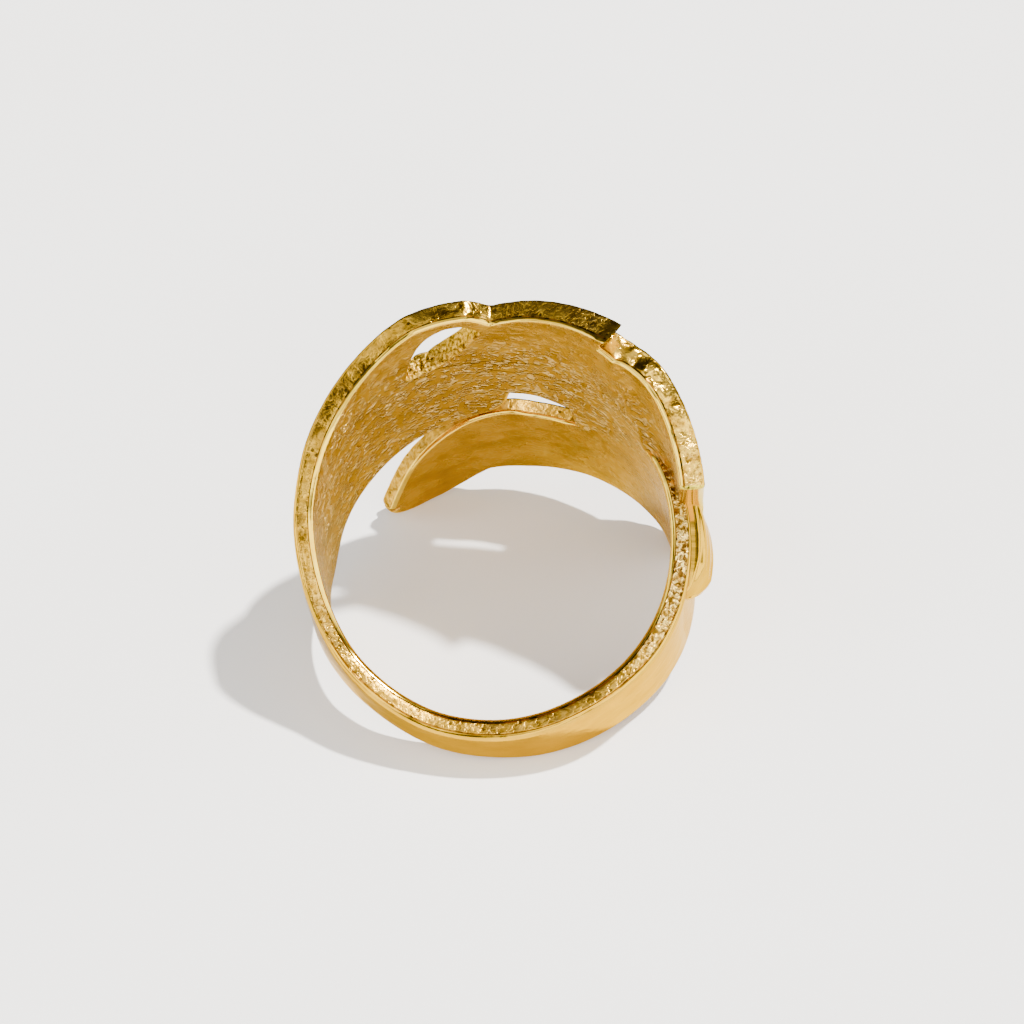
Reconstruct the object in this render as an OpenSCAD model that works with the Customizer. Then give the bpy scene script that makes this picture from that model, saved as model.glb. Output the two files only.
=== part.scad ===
// Wide feather ring, one casting, lying on its side.
// Angles run round the bore: 0 at the back, positive to the right, 180 at the front of the shank.
// Heights run along the bore from the upper edge of the shank at the front.

/* [Band] */
// Diameter of the bore, finger size 57
bore_d = 18.14; // [15:0.01:21]
// Wall of the plain shank
shank_wall = 1.18; // [0.9:0.01:1.6]
// Wall of the upper feather
upper_wall = 1.2; // [1:0.01:1.5]
// Wall of the lower feather
lower_wall = 0.95; // [0.7:0.01:1.1]
// Height of the bevel on the edges of the shank
shank_bevel = 0.34; // [0.1:0.01:0.5]
// Width of the bevel round the feathers
feather_bevel = 0.08; // [0.04:0.01:0.2]

/* [Feathers] */
// Rise of each quill above its vane
quill_rise = 0.34; // [0.1:0.01:0.6]
// Half width of each quill
quill_half = 0.55; // [0.3:0.01:0.8]
// Depth of the groove between two barbs
groove = 0.17; // [0.05:0.01:0.3]
// Depth of the crease where a vane is split
split_depth = 0.3; // [0.1:0.01:0.5]
// Step round the ring from one barb to the next
barb_step = 5.4; // [4:0.1:8]

/* [Rest] */
// Lean of the bore towards the front as the ring lies
lean_front = 20.8; // [0:0.1:30]
// Lean of the bore towards the right as the ring lies
lean_right = -0.76; // [-15:0.1:15]
// Height of the shank's upper edge level above the table
rest_height = 6.20; // [4:0.01:10]
// Move to the right that brings the middle of the ring over the origin
shift_x = -0.46; // [-3:0.01:3]
// Move to the back that brings the middle of the ring over the origin
shift_y = -1.34; // [-3:0.01:3]

/* [Hidden] */
bore_r = bore_d / 2;
shank_r = bore_r + shank_wall;

// Columns: angle, lower edge, upper edge
UPPER_EDGES = [
    [-180, -2.65, 0.00], [-165, -2.45, 0.02], [-152, -1.95, 0.32], [-140, -1.65, 0.72],
    [-128, -1.75, 1.10], [-120, -2.05, 1.70], [-112, -2.50, 2.50], [-105, -2.95, 3.25],
    [-98, -3.45, 4.00], [-90, -4.05, 4.75], [-82, -4.45, 5.20], [-76, -4.10, 5.55],
    [-70, -3.50, 5.95], [-62, -3.05, 6.45], [-50, -2.65, 7.35], [-40, -2.30, 8.10],
    [-30, -2.00, 8.85], [-24, -1.90, 9.15], [-16, -1.75, 9.20], [-8, -1.45, 9.15],
    [-4, -1.20, 8.85], [0, -0.50, 8.45], [3, 0.80, 8.65], [10, 0.80, 9.15],
    [17, 0.55, 9.50], [22.5, 0.30, 9.75], [25, 0.15, 9.85], [31, -0.30, 10.10],
    [37, -0.80, 10.35], [40.6, -1.10, 10.60], [40.8, -1.12, 9.15], [46, -1.60, 9.15],
    [55, -2.20, 9.00], [62, -2.60, 8.50], [69, -2.90, 7.95], [74, -3.00, 7.45],
    [77, -3.05, 7.20], [82.5, -3.00, 6.65]
];

// Columns: angle, quill height, turn of the upper barbs, turn of the lower barbs
UPPER_QUILL = [
    [-180, -1.30, 0, 0], [-150, -0.85, 0, 0], [-128, -0.20, 0, 0], [-112, 0.50, 7, 4],
    [-90, 1.35, 20, 10], [-70, 2.05, 29, 14], [-50, 2.70, 33, 16], [-30, 3.25, 34, 16],
    [-10, 3.55, 33, 16], [8, 3.50, 32, 15], [22, 3.20, 30, 14], [36, 2.75, 27, 12],
    [50, 2.15, 22, 9], [62, 1.55, 15, 6], [71, 1.05, 8.5, 3], [77.5, 0.75, 5, -1]
];

// Columns: angle at the upper edge, inside radius less the bore, gain of the wall
UPPER_LAP = [
    [-180, -0.57, -0.02], [-130, -0.57, -0.12], [-92, -0.57, -0.12], [-66, -0.57, 0.02],
    [5, -0.57, 0.06], [17, -0.57, 0.14], [30, -0.57, 0.22], [41, -0.57, 0.30],
    [46, 0.16, 0.46], [50, 0.34, 0.60], [56, 0.50, 0.72], [62, 0.60, 0.76], [82.5, 0.62, 0.80]
];
// Turn of the lap for each unit of height below the upper edge
LAP_SLANT = 2.1;

// Lowest barbs of the upper feather, at the right behind the shank.
// Columns: angle of the root, turn to the tip, height of the root, height of the tip
LOW_BARBS = [
    [22.3, 8.7, 1.00, -4.60], [27, 10, 0.70, -6.40], [32, 11, 0.35, -7.40],
    [38, 12, -0.20, -8.10], [44, 12, -0.70, -8.42], [50, 12, -1.20, -8.50],
    [56, 11, -1.55, -8.10], [61, 10, -1.80, -7.30], [66, 9, -2.00, -5.80], [70, 7, -2.10, -4.30]
];

// Columns: angle, lower edge, upper edge
LOWER_EDGES = [
    [180, -2.65, 0.00], [165, -3.00, 0.15], [150, -3.20, 0.42], [134, -3.45, 0.58],
    [120, -3.85, 0.85], [109, -3.95, 1.20], [100, -4.00, 1.60], [90, -4.00, 2.15],
    [80, -4.05, 2.62], [71, -4.40, 2.85], [62, -5.05, 2.80], [55, -5.65, 2.45],
    [45, -6.30, 1.10], [35, -6.80, -0.30], [25, -7.15, -1.35], [19, -7.40, -1.55],
    [10, -7.70, -1.60], [2, -7.90, -1.45], [-4, -7.92, -1.60], [-9, -7.98, -1.85],
    [-13, -8.35, -2.10], [-20, -9.05, -2.75], [-28, -9.45, -3.70], [-35, -9.38, -4.80],
    [-40, -9.10, -6.05], [-44, -8.60, -7.20], [-46, -8.15, -7.80]
];

// Columns: angle, quill height, turn of the upper barbs, turn of the lower barbs
LOWER_QUILL = [
    [180, -1.30, 0, 0], [150, -1.40, 0, 0], [120, -1.50, 0, 0], [105, -1.45, -4, -3],
    [90, -1.45, -10, -7], [75, -1.70, -14, -11], [60, -2.20, -17, -14], [40, -3.30, -19, -16],
    [20, -4.40, -19, -16], [0, -5.20, -17, -14], [-15, -6.10, -15, -11], [-28, -7.00, -11, -8],
    [-38, -7.72, -5.5, -4], [-43, -7.97, -3, -3]
];

// Columns: angle, lower edge, upper edge, rise above the shank
TIP_EDGES = [
    [66, -3.00, 2.50, 0.30], [74, -3.05, 2.58, 0.46], [80, -3.00, 2.52, 0.72],
    [86, -2.80, 2.34, 0.86], [91, -2.45, 2.10, 0.90], [96, -2.00, 1.84, 0.88],
    [99.5, -1.50, 1.62, 0.80], [102.3, -0.80, 1.38, 0.66], [104.6, 0.00, 1.10, 0.46]
];

// Columns: angle, lower edge, upper edge
SLOT = [
    [-30.5, 4.65, 4.85], [-29, 4.70, 5.80], [-27, 4.75, 6.70], [-24, 4.80, 7.55],
    [-21, 4.90, 8.05], [-18, 5.15, 8.30], [-15, 5.55, 8.45], [-11, 6.15, 8.42],
    [-8, 6.80, 8.20], [-4.5, 7.50, 7.65]
];

// Shares of the way from quill to edge at which a vane is sectioned
STATIONS = [0.30, 0.62];

function column(table, c) = [for (row = table) [row[0], row[c]]];
function at(ang, r, z) = [r * sin(ang), r * cos(ang), z];
function span(a, b, n) = [for (i = [0:n - 1]) a + (b - a) * i / n];

// Angles of the sections: ends of the plain part, then ridge and groove of each barb in turn
function barb_angles(a, b) =
    let (n = round(abs(b - a) / barb_step))
    concat(span(a, b, 2 * n), [b]);

// One section from the lower edge over the quill to the upper edge.
// Each entry is [angle, height, share of the way from quill to edge, length of the barb].
function half_section(t, quill, edges, side, bevel) =
    let (
        turn = lookup(t, column(quill, side + 1)),
        z0 = lookup(t, column(quill, 1)),
        z1 = lookup(t + turn, column(edges, side)),
        rim = abs(z1 - z0),
        flank = min(quill_half, 0.3 * rim) / rim,
        near = 1 - min(bevel, 0.25 * rim) / rim,
        shares = concat([flank], [for (s = STATIONS) flank + (near - flank) * s], [near, 1])
    )
    [for (w = shares) [t + turn * pow(w, 1.25), z0 + (z1 - z0) * w, w, rim]];

function reverse(list) = [for (i = [len(list) - 1:-1:0]) list[i]];

function section(t, quill, edges, bevel) =
    concat(
        reverse(half_section(t, quill, edges, 1, bevel)),
        [[t, lookup(t, column(quill, 1)), 0, 1]],
        half_section(t, quill, edges, 2, bevel)
    );

// Skin through equal sections, each an outer chain followed by an inner chain
module skin(outer, inner) {
    n = len(outer);
    m = len(outer[0]);
    points = concat([for (c = outer) each c], [for (c = inner) each c]);
    function o(i, j) = i * m + j;
    function q(i, j) = n * m + i * m + j;
    walls = [for (i = [0:n - 2]) for (j = [0:m - 2]) each [
        [o(i, j), o(i + 1, j), o(i + 1, j + 1)], [o(i, j), o(i + 1, j + 1), o(i, j + 1)],
        [q(i, j), q(i + 1, j + 1), q(i + 1, j)], [q(i, j), q(i, j + 1), q(i + 1, j + 1)]
    ]];
    rims = [for (i = [0:n - 2]) each [
        [o(i, 0), q(i + 1, 0), o(i + 1, 0)], [o(i, 0), q(i, 0), q(i + 1, 0)],
        [o(i, m - 1), o(i + 1, m - 1), q(i + 1, m - 1)], [o(i, m - 1), q(i + 1, m - 1), q(i, m - 1)]
    ]];
    ends = [for (j = [0:m - 2]) each [
        [o(0, j), o(0, j + 1), q(0, j + 1)], [o(0, j), q(0, j + 1), q(0, j)],
        [o(n - 1, j), q(n - 1, j + 1), o(n - 1, j + 1)], [o(n - 1, j), q(n - 1, j), q(n - 1, j + 1)]
    ]];
    polyhedron(points = points, faces = concat(walls, rims, ends), convexity = 8);
}

// Radius gained or lost on the outside of a feather by its quill, barbs and edge bevel.
// vane runs from 0 on the plain shank to 1 on the full feather.
function relief(i, w, vane, split) =
    let (
        ridge = (i % 2 == 0) ? 0 : groove,
        share = (w == 0 || w == 1) ? 0 : (w > 0.9) ? 0.4 : 1
    )
    (w == 0 ? vane * quill_rise : 0)
    - share * (vane * ridge + split)
    - (w == 1 ? edge_bevel(vane) * 0.75 : 0);

function edge_bevel(vane) = vane * feather_bevel + (1 - vane) * shank_bevel;
// Angle at which the lap table is read for a point of the upper feather
function lap_angle(p) = p[0] - LAP_SLANT * max(0, 9 - p[1]);
// Inside of the lowest barbs: let into the outside of the lower feather that lies beneath
function low_inside(p) =
    let (below = lookup(p[0], column(LOWER_EDGES, 2)) - p[1])
    min(lower_wall - 0.25, -0.57 + max(0, below - 0.3) * 3);

function ramp(t, a, b) = min(1, max(0, (t - a) / (b - a)));
function near_split(t, list) = max([for (s = list) max(0, 1 - abs(t - s) / 2.8)]);

module upper_feather() {
    angles = concat(span(-180, -128, 9), barb_angles(-128, 77.5));
    vane = [for (t = angles) ramp(t, -110, -60)];
    lap = column(UPPER_LAP, 2);
    rows = [for (i = [0:len(angles) - 1])
        section(angles[i], UPPER_QUILL, UPPER_EDGES, edge_bevel(vane[i]))];
    outer = [for (i = [0:len(rows) - 1]) let (
        plain = 1 - ramp(angles[i], -178, -150),
        split = split_depth * near_split(angles[i], [-36, 9])
    ) [for (p = rows[i]) at(
        p[0],
        bore_r + plain * shank_wall + (1 - plain) * (upper_wall + lookup(lap_angle(p), lap))
            + relief(i + 1, p[2], vane[i], split),
        p[1]
    )]];
    inside = column(UPPER_LAP, 1);
    inner = [for (row = rows)
        [for (p = row) at(p[0], bore_r + lookup(lap_angle(p), inside), p[1])]];
    skin(outer, inner);
}

// Ridges at the rows of the table and grooves half way between them
module low_barbs() {
    lap = column(UPPER_LAP, 2);
    last = len(LOW_BARBS) - 1;
    rows = [for (i = [0:2 * last]) let (
        one = LOW_BARBS[floor(i / 2)],
        two = LOW_BARBS[ceil(i / 2)],
        row = (one + two) / 2
    ) [for (w = [1, 0.97, 0.7, 0.45, 0.2, 0])
        [row[0] + row[1] * w * w, row[2] + (row[3] - row[2]) * w, w, i % 2]]];
    outer = [for (row = rows) [for (p = row) at(
        p[0],
        bore_r + upper_wall + lookup(lap_angle(p), lap)
            - (p[2] == 0 ? 0.5 : groove * p[3] * (p[2] < 0.9 ? 1 : 0.4) + (p[2] == 1 ? 0.06 : 0)),
        p[1]
    )]];
    inner = [for (row = rows) [for (p = row) at(p[0], bore_r + low_inside(p), p[1])]];
    skin(outer, inner);
}

module lower_feather() {
    angles = concat(span(180, 112, 11), barb_angles(112, -43));
    vane = [for (t = angles) ramp(-t, -112, -80)];
    bare = [for (t = angles) ramp(-t, -34, -22)];
    rows = [for (i = [0:len(angles) - 1])
        reverse(section(angles[i], LOWER_QUILL, LOWER_EDGES, edge_bevel(vane[i])))];
    outer = [for (i = [0:len(rows) - 1]) [for (p = rows[i]) at(
        p[0],
        bore_r + (1 - vane[i]) * shank_wall + vane[i] * lower_wall + relief(i + 1, p[2], bare[i], 0),
        p[1]
    )]];
    inner = [for (row = rows) [for (p = row) at(p[0], bore_r - 0.42, p[1])]];
    skin(outer, inner);
}

// Tip of the upper feather, lapped over the outside of the shank
module lapped_tip() {
    rows = [for (e = TIP_EDGES) let (half = (e[2] - e[1]) / 2, mid = (e[1] + e[2]) / 2)
        [for (w = [-1, -0.93, -0.75, -0.45, -0.12, 0, 0.12, 0.45, 0.75, 0.93, 1])
            [e[0] - 3 * min(1, half / 1.9) * w * w, mid + half * w, abs(w), e[3]]]];
    outer = [for (row = rows) [for (p = row) at(
        p[0],
        shank_r + p[3] * (0.12 + 0.88 * sqrt(1 - p[2] * p[2])) + (p[2] == 0 ? 0.08 : 0),
        p[1]
    )]];
    inner = [for (row = rows) [for (p = row) at(p[0], shank_r - 0.4, p[1])]];
    skin(outer, inner);
}

// Cut that runs outwards through the wall between a lower and an upper edge
module wall_cut(edges) {
    outer = [for (e = edges) [at(e[0], bore_r + 3, e[1]), at(e[0], bore_r + 3, e[2])]];
    inner = [for (e = edges) [at(e[0], bore_r - 1, e[1]), at(e[0], bore_r - 1, e[2])]];
    skin(outer, inner);
}

module bore() {
    translate([0, 0, -14]) cylinder(r = bore_r, h = 30, $fn = 180);
}

module feather_ring() {
    color([0.83, 0.66, 0.30])
    translate([shift_x, shift_y, rest_height])
    rotate([lean_front, lean_right, 0])
    difference() {
        difference() {
            union() {
                union() {
                    union() {
                        lower_feather();
                        low_barbs();
                    }
                    upper_feather();
                }
                lapped_tip();
            }
            wall_cut(SLOT);
        }
        bore();
    }
}

feather_ring();
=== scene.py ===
# %% [markdown]
# # A cast feather ring
#
# The real ring is one piece of gold-coloured metal. A strip with a feather at each end is carved
# in wax, rolled round a mandrel until the two feathers overlap at the back, and cast. The caster
# then reams the bore, files the rims and polishes what a finger or an eye meets first.
#
# We follow that order. A flat grid is the wax strip, one function rolls it round the bore, and a
# boolean saws the slot. Eight finishes then say how each place was worked, with light and shade
# painted into some of them: reamed bore, raw cast rim, polished metal, chased feather, sawn wall,
# burnished lip painted lighter as a highlight, groove painted dark as shade and end face painted
# bright as a highlight.

import math

import bmesh
import bpy
import numpy as np
from mathutils import Matrix, Quaternion, Vector, noise


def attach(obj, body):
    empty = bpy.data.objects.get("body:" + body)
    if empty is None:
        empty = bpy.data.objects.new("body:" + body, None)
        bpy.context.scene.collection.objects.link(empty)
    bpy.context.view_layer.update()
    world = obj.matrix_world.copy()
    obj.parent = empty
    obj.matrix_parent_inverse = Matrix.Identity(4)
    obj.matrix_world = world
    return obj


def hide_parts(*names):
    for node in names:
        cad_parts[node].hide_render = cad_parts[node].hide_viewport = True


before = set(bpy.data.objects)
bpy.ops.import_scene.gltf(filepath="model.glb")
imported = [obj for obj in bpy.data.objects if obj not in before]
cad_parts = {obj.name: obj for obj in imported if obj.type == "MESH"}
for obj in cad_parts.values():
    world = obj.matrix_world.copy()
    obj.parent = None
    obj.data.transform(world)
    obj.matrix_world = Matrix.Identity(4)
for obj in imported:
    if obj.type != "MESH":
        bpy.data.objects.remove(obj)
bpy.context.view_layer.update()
MM = 0.001

# %% [markdown]
# ## The camera
#
# The ring was photographed from the front, 43 degrees above the floor, with a long lens. The camera
# comes first, so that every later step can be judged from where the real one was judged.

# %% The camera
scene = bpy.context.scene
eye, aim = Vector((17.58, -165.58, 166.21)), Vector((0.27, 0.32, 7.85))
ROLL = -3.558

camera = bpy.data.objects.new("camera", bpy.data.cameras.new("camera"))
scene.collection.objects.link(camera)
scene.camera = camera
camera.data.sensor_width = 36
camera.data.lens = 156.06
camera.data.clip_start, camera.data.clip_end = 0.01, 5
camera.location = eye * MM
camera.rotation_mode = "QUATERNION"
level = (eye - aim).to_track_quat("Z", "Y")
camera.rotation_quaternion = level @ Quaternion((0, 0, 1), math.radians(ROLL))
print("camera", round((eye - aim).length), "mm away,",
      round(math.degrees(math.asin((eye - aim).normalized().z)), 1), "degrees up")

# %% [markdown]
# ## The strip's outline
#
# Everything is measured on the rolled ring: an angle round the bore, 0 at the back and growing to
# the right, and a height along the bore, 0 at the shank's upper edge. The strip starts at the lower
# feather's tip at -406 degrees, passes the back, the right side and the front at -180, and ends
# with the upper feather at 82. Each row of a table is one place where the outline turns.

# %% Outline tables
BORE = 9.07                   # inside radius in mm
MIDDLE = 9.6                  # radius in the wall where lengths along the strip are taken
FIRST, LAST = -403.0, 77.5    # places on the quill where the strip starts and ends

# Columns: angle, lower edge, upper edge
LOWER_FEATHER = [
    [-406, -8.15, -7.80], [-404, -8.60, -7.20], [-400, -9.10, -6.05], [-395, -9.38, -4.80],
    [-388, -9.45, -3.70], [-380, -9.05, -2.75], [-373, -8.35, -2.10], [-369, -7.98, -1.85],
    [-364, -7.92, -1.60], [-358, -7.90, -1.45], [-350, -7.70, -1.60], [-341, -7.40, -1.55],
    [-335, -7.15, -1.35], [-325, -6.80, -0.30], [-315, -6.30, 1.10], [-305, -5.65, 2.45],
    [-298, -5.05, 2.80], [-289, -4.40, 2.85], [-280, -4.05, 2.62], [-270, -4.00, 2.15],
    [-260, -4.00, 1.60], [-251, -3.95, 1.20], [-240, -3.85, 0.85], [-226, -3.45, 0.58],
    [-210, -3.20, 0.42], [-195, -3.00, 0.15],
]
UPPER_FEATHER = [
    [-180, -2.65, 0.00], [-165, -2.45, 0.02], [-152, -1.95, 0.32], [-140, -1.65, 0.72],
    [-128, -1.75, 1.10], [-120, -2.05, 1.70], [-112, -2.50, 2.50], [-105, -2.95, 3.25],
    [-98, -3.45, 4.00], [-90, -4.05, 4.75], [-82, -4.45, 5.20], [-76, -4.10, 5.55],
    [-70, -3.50, 5.95], [-62, -3.05, 6.45], [-50, -2.65, 7.35], [-40, -2.30, 8.10],
    [-30, -2.00, 8.85], [-24, -1.90, 9.15], [-16, -1.75, 9.20], [-8, -1.45, 9.15],
    [-4, -1.20, 8.85], [0, -0.50, 8.45], [3, 0.80, 8.65], [10, 0.80, 9.15],
    [17, 0.55, 9.50], [22.5, 0.30, 9.75], [25, 0.15, 9.85], [31, -0.30, 10.10],
    [37, -0.80, 10.35], [41, -1.12, 10.57], [46, -1.60, 10.6], [55, -2.20, 10.6],
    [62, -2.60, 10.6], [69, -2.90, 10.6], [74, -3.00, 10.6], [82.5, -3.00, 10.6],
]
# The third group of barbs, behind the second one's pointed tip. Columns: angle, upper edge
THIRD_GROUP = [
    [36, 9.25], [41, 9.20], [46, 9.15], [55, 9.00], [62, 8.50], [69, 7.95], [74, 7.45],
    [77, 7.20], [82.5, 6.65], [86, 6.25],
]

# Columns: angle, quill height, turn of the upper barbs, turn of the lower barbs
QUILL = [
    [-403, -7.97, -3, -3], [-398, -7.72, -5.5, -4], [-388, -7.00, -11, -8], [-375, -6.10, -15, -11],
    [-360, -5.20, -17, -14], [-340, -4.40, -19, -16], [-320, -3.30, -19, -16],
    [-300, -2.20, -17, -14], [-285, -1.70, -14, -11], [-270, -1.45, -10, -7], [-255, -1.45, -4, -3],
    [-240, -1.50, 0, 0], [-210, -1.40, 0, 0], [-180, -1.30, 0, 0], [-150, -0.85, 0, 0],
    [-128, -0.20, 0, 0], [-112, 0.50, 7, 4], [-90, 1.35, 20, 10], [-70, 2.05, 29, 14],
    [-50, 2.70, 33, 16], [-30, 3.25, 34, 16], [-10, 3.55, 33, 16], [8, 3.50, 32, 15],
    [22, 3.20, 30, 14], [36, 2.75, 27, 12], [50, 2.15, 22, 9], [62, 1.55, 15, 6],
    [71, 1.05, 9.5, 3], [77.5, 0.75, 8, -1],
]

# Columns: angle at the upper edge, inside radius less the bore, gain of the wall
LAP = [
    [-180, 0.00, -0.02], [-130, 0.00, -0.12], [-92, 0.00, -0.12], [-66, 0.00, 0.02],
    [5, 0.00, 0.06], [17, 0.00, 0.14], [30, 0.00, 0.22], [41, -0.05, 0.30], [44, 0.00, 0.40],
    [46, 0.16, 0.46], [50, 0.34, 0.60], [56, 0.50, 0.72], [62, 0.60, 0.76], [82.5, 0.62, 0.80],
]
print(len(LOWER_FEATHER + UPPER_FEATHER), "places on the outline,", len(QUILL), "on the quill")

# %% [markdown]
# ## Smooth lines through the tables
#
# The carver's outline has no kinks between those places and never swings past them. A cubic whose
# slope at each place is held between its neighbours' gives both, where a plain spline would
# overshoot beside every step.

# %% Curves
def curve(rows, column):
    """Smooth line through a table's column that never swings past its values."""
    x, y = (np.array([row[c] for row in rows], float) for c in (0, column))
    step, rise = np.diff(x), np.diff(y) / np.diff(x)
    slope = np.zeros_like(y)
    on = rise[:-1] * rise[1:] > 0
    slope[1:-1][on] = 2 / (1 / rise[:-1][on] + 1 / rise[1:][on])
    slope[0], slope[-1] = rise[0], rise[-1]

    def at(q):
        q = np.clip(q, x[0], x[-1])
        k = np.clip(np.searchsorted(x, q) - 1, 0, len(step) - 1)
        s = (q - x[k]) / step[k]
        return (y[k] * (1 + 2 * s) * (1 - s) ** 2 + y[k + 1] * s * s * (3 - 2 * s)
                + step[k] * s * (1 - s) * (slope[k] * (1 - s) - slope[k + 1] * s))
    return at


lower_edge, upper_edge = (curve(LOWER_FEATHER + UPPER_FEATHER, c) for c in (1, 2))
third_edge = curve(THIRD_GROUP, 1)
quill_height, upper_turn, lower_turn = (curve(QUILL, c) for c in (1, 2, 3))
lap_inside, lap_gain = (curve(LAP, c) for c in (1, 2))
print("strip", round(math.radians(LAST - FIRST) * MIDDLE), "mm long,",
      round(float(upper_edge(0) - lower_edge(-360)), 1), "mm wide at the back")

# %% [markdown]
# ## Rolling the strip
#
# Lines across the strip are barbs: each leaves the quill and bends towards the feather's tip. So a
# point is named by where its barb leaves the quill and by its share of the way to the edge, and the
# roll turns that into an angle, a height and a radius. Sections, grooves and texture then all run
# with the barbs, as the carver's knife did.

# %% Roll functions
SPLIT = 5.5                          # place where the barbs part into the second and third group
CREASES = [-36, SPLIT]
TIP_FOOT, TIP_TOP = 9.24, 10.57      # heights of the second group's overhanging end
TIP_RUN, TIP_LEAN = 20, 3.2          # degrees over which that end leans, and by how many
LAP_TOP, LAP_SLANT = 9, 2.1          # the lap's front slants by so many degrees a mm below its top
PER_MM = math.degrees(1 / MIDDLE)    # degrees of the roll to a mm of strip


def ramp(t, a, b):
    return np.clip((t - a) / (b - a), 0, 1)


def soft(t, a, b):
    s = ramp(t, a, b)
    return s * s * (3 - 2 * s)


def barb_place(t, w, side, tip):
    """Angle and height at share w of a barb that leaves the quill at t.

    tip is 1 at the second group's pointed end and falls to 0 down its overhanging face.
    """
    turn = upper_turn(t) if side > 0 else lower_turn(t)
    root = quill_height(t)
    if side < 0:
        edge, lean = lower_edge(t + turn), 0
    else:
        lean = TIP_LEAN * ramp(t, SPLIT - TIP_RUN, SPLIT) ** 2 * (t < SPLIT) * tip ** 1.6
        full = np.minimum(upper_edge(t + turn + lean), TIP_FOOT + (TIP_TOP - TIP_FOOT) * tip)
        edge = np.where(t < SPLIT, np.where(tip < 1, full, upper_edge(t + turn + lean)),
                        third_edge(t + turn))
    return t + turn * w ** 1.25 + lean * ramp(w, 0.8, 1) ** 1.2, root + (edge - root) * w


def lap_place(angle, height):
    """Angle at the upper edge that has the same overlap, because the lap's front is slanted."""
    return angle - LAP_SLANT * np.maximum(0, LAP_TOP - height)


def inside(angle, height):
    """Inside radius: the bore, or more where the upper feather laps over the lower one."""
    return BORE + np.maximum(0, lap_inside(lap_place(angle, height)))


# How far the ring leans as it lies, and where that puts it on the floor
lean = Matrix.Rotation(math.radians(-0.76), 3, "Y") @ Matrix.Rotation(math.radians(20.8), 3, "X")
LEAN = np.array(lean)
REST = np.array([-0.46, -1.34, 6.21])


def rolled(angle, height, radius):
    """Points on the floor's frame, in metres, from angles, heights and radii in mm."""
    a = np.radians(angle)
    flat = np.stack([radius * np.sin(a), radius * np.cos(a), height], axis=-1)
    return (flat @ LEAN.T + REST) * MM


print("bore leans", round(math.degrees(math.acos(LEAN[2][2])), 1), "degrees")

# %% [markdown]
# ## From flat grid to closed shell
#
# One grid is enough for a closed strip: its rows go up the inside wall, over the rim, down the
# outside and round the lower rim back to the start. After the roll the first and last rows lie on
# each other, and so do the two walls at each end, so merging doubles closes the shell.

# %% The shell maker
(BORE_FINISH, RIM_FINISH, POLISH_FINISH, VANE_FINISH, SAWN_FINISH, LIP_FINISH, GROOVE_FINISH,
 BRIGHT_FINISH) = range(8)
TOUCH = 2e-7                         # points that are nearer than this many metres become one
SHARP = math.radians(38)             # edges that turn by more than this stay crisp


def placed(name, bm):
    """The bmesh as a piece of the scene."""
    mesh = bpy.data.meshes.new(name)
    bm.to_mesh(mesh)
    bm.free()
    piece = bpy.data.objects.new(name, mesh)
    scene.collection.objects.link(piece)
    return piece


def shell(name, points, maps, finish):
    """Closed shell from a grid of points, with two UV maps in mm and a finish for each face."""
    columns, rows = points.shape[:2]
    bm = bmesh.new()
    bmesh.ops.create_grid(bm, x_segments=rows - 1, y_segments=columns - 1, size=0.5)
    bm.verts.ensure_lookup_table()
    flat = points.reshape(-1, 3)
    layers = [bm.loops.layers.uv.new(key) for key in maps]
    plans = [plan.reshape(-1, 2) for plan in maps.values()]
    for face in bm.faces:
        spots = [v.index for v in face.verts]
        i, j = min(spots) // rows, min(spots) % rows
        face.material_index = int(finish[min(i, columns - 2), min(j, rows - 2)])
        face.smooth = True
        for loop in face.loops:
            for layer, plan in zip(layers, plans):
                loop[layer].uv = plan[loop.vert.index]
    for v in bm.verts:
        v.co = flat[v.index]
    bmesh.ops.remove_doubles(bm, verts=bm.verts, dist=TOUCH)
    bmesh.ops.dissolve_degenerate(bm, edges=bm.edges, dist=TOUCH / 10)
    bmesh.ops.recalc_face_normals(bm, faces=bm.faces)
    odd = sum(len(e.link_faces) != 2 for e in bm.edges)
    piece = placed(name, bm)
    piece.data.set_sharp_from_angle(angle=SHARP)
    print(name, len(piece.data.polygons), "faces,", odd, "edges without two faces")
    return piece


print("finishes are numbered 0 to", BRIGHT_FINISH)

# %% [markdown]
# ## Sections of the strip
#
# Across the strip, points crowd where the shape turns: round the quill and at the rims. Along it
# they crowd in the vanes, where each barb needs about eight of them, and at the two ends, which are
# rounded over the last 0.3 mm.

# %% Where the sections and points lie
END = 0.3 * PER_MM                   # angle of the rounded last stretch
PLAIN_FROM, PLAIN_TO = -252, -112    # stretch of the shank without barbs
TIP_STEPS = 13                       # sections down the second group's overhanging end
NUDGE = 0.02                         # degrees that the sections beside the split stand off it

ends = END * np.array([0, 0.012, 0.05, 0.12, 0.24, 0.42, 0.68])
along = np.concatenate([
    FIRST + ends, np.arange(FIRST + END, PLAIN_FROM, 0.62), np.arange(PLAIN_FROM, PLAIN_TO, 1.0),
    np.arange(PLAIN_TO, SPLIT - 0.3, 0.6), np.full(TIP_STEPS, SPLIT - NUDGE), [SPLIT + NUDGE],
    np.arange(SPLIT + 0.5, LAST - END, 0.6), LAST - ends[::-1],
])
at_split = along == SPLIT - NUDGE
tips = np.ones(len(along))
tips[at_split] = np.linspace(1, 0, TIP_STEPS)
along = along + np.where(at_split, NUDGE * (0.5 - tips), 0)
half = np.array([0.02, 0.05, 0.09, 0.14, 0.2, 0.28, 0.38, 0.48, 0.58, 0.68, 0.77, 0.85, 0.91, 0.955,
                 0.985, 1.0])
shares = np.concatenate([-half[::-1], [0], half])
print(len(along), "sections of", len(shares), "points on each wall")

# %% [markdown]
# ## Walls, quill and barbs
#
# The wall is about 1.2 mm thick. On its outside stands the quill, and each barb is a low round
# ridge with a sharp groove on both sides, so the depth follows the size of a cosine. The lower
# feather is a mirror of the upper one, so its places count from the back the other way.

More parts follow.
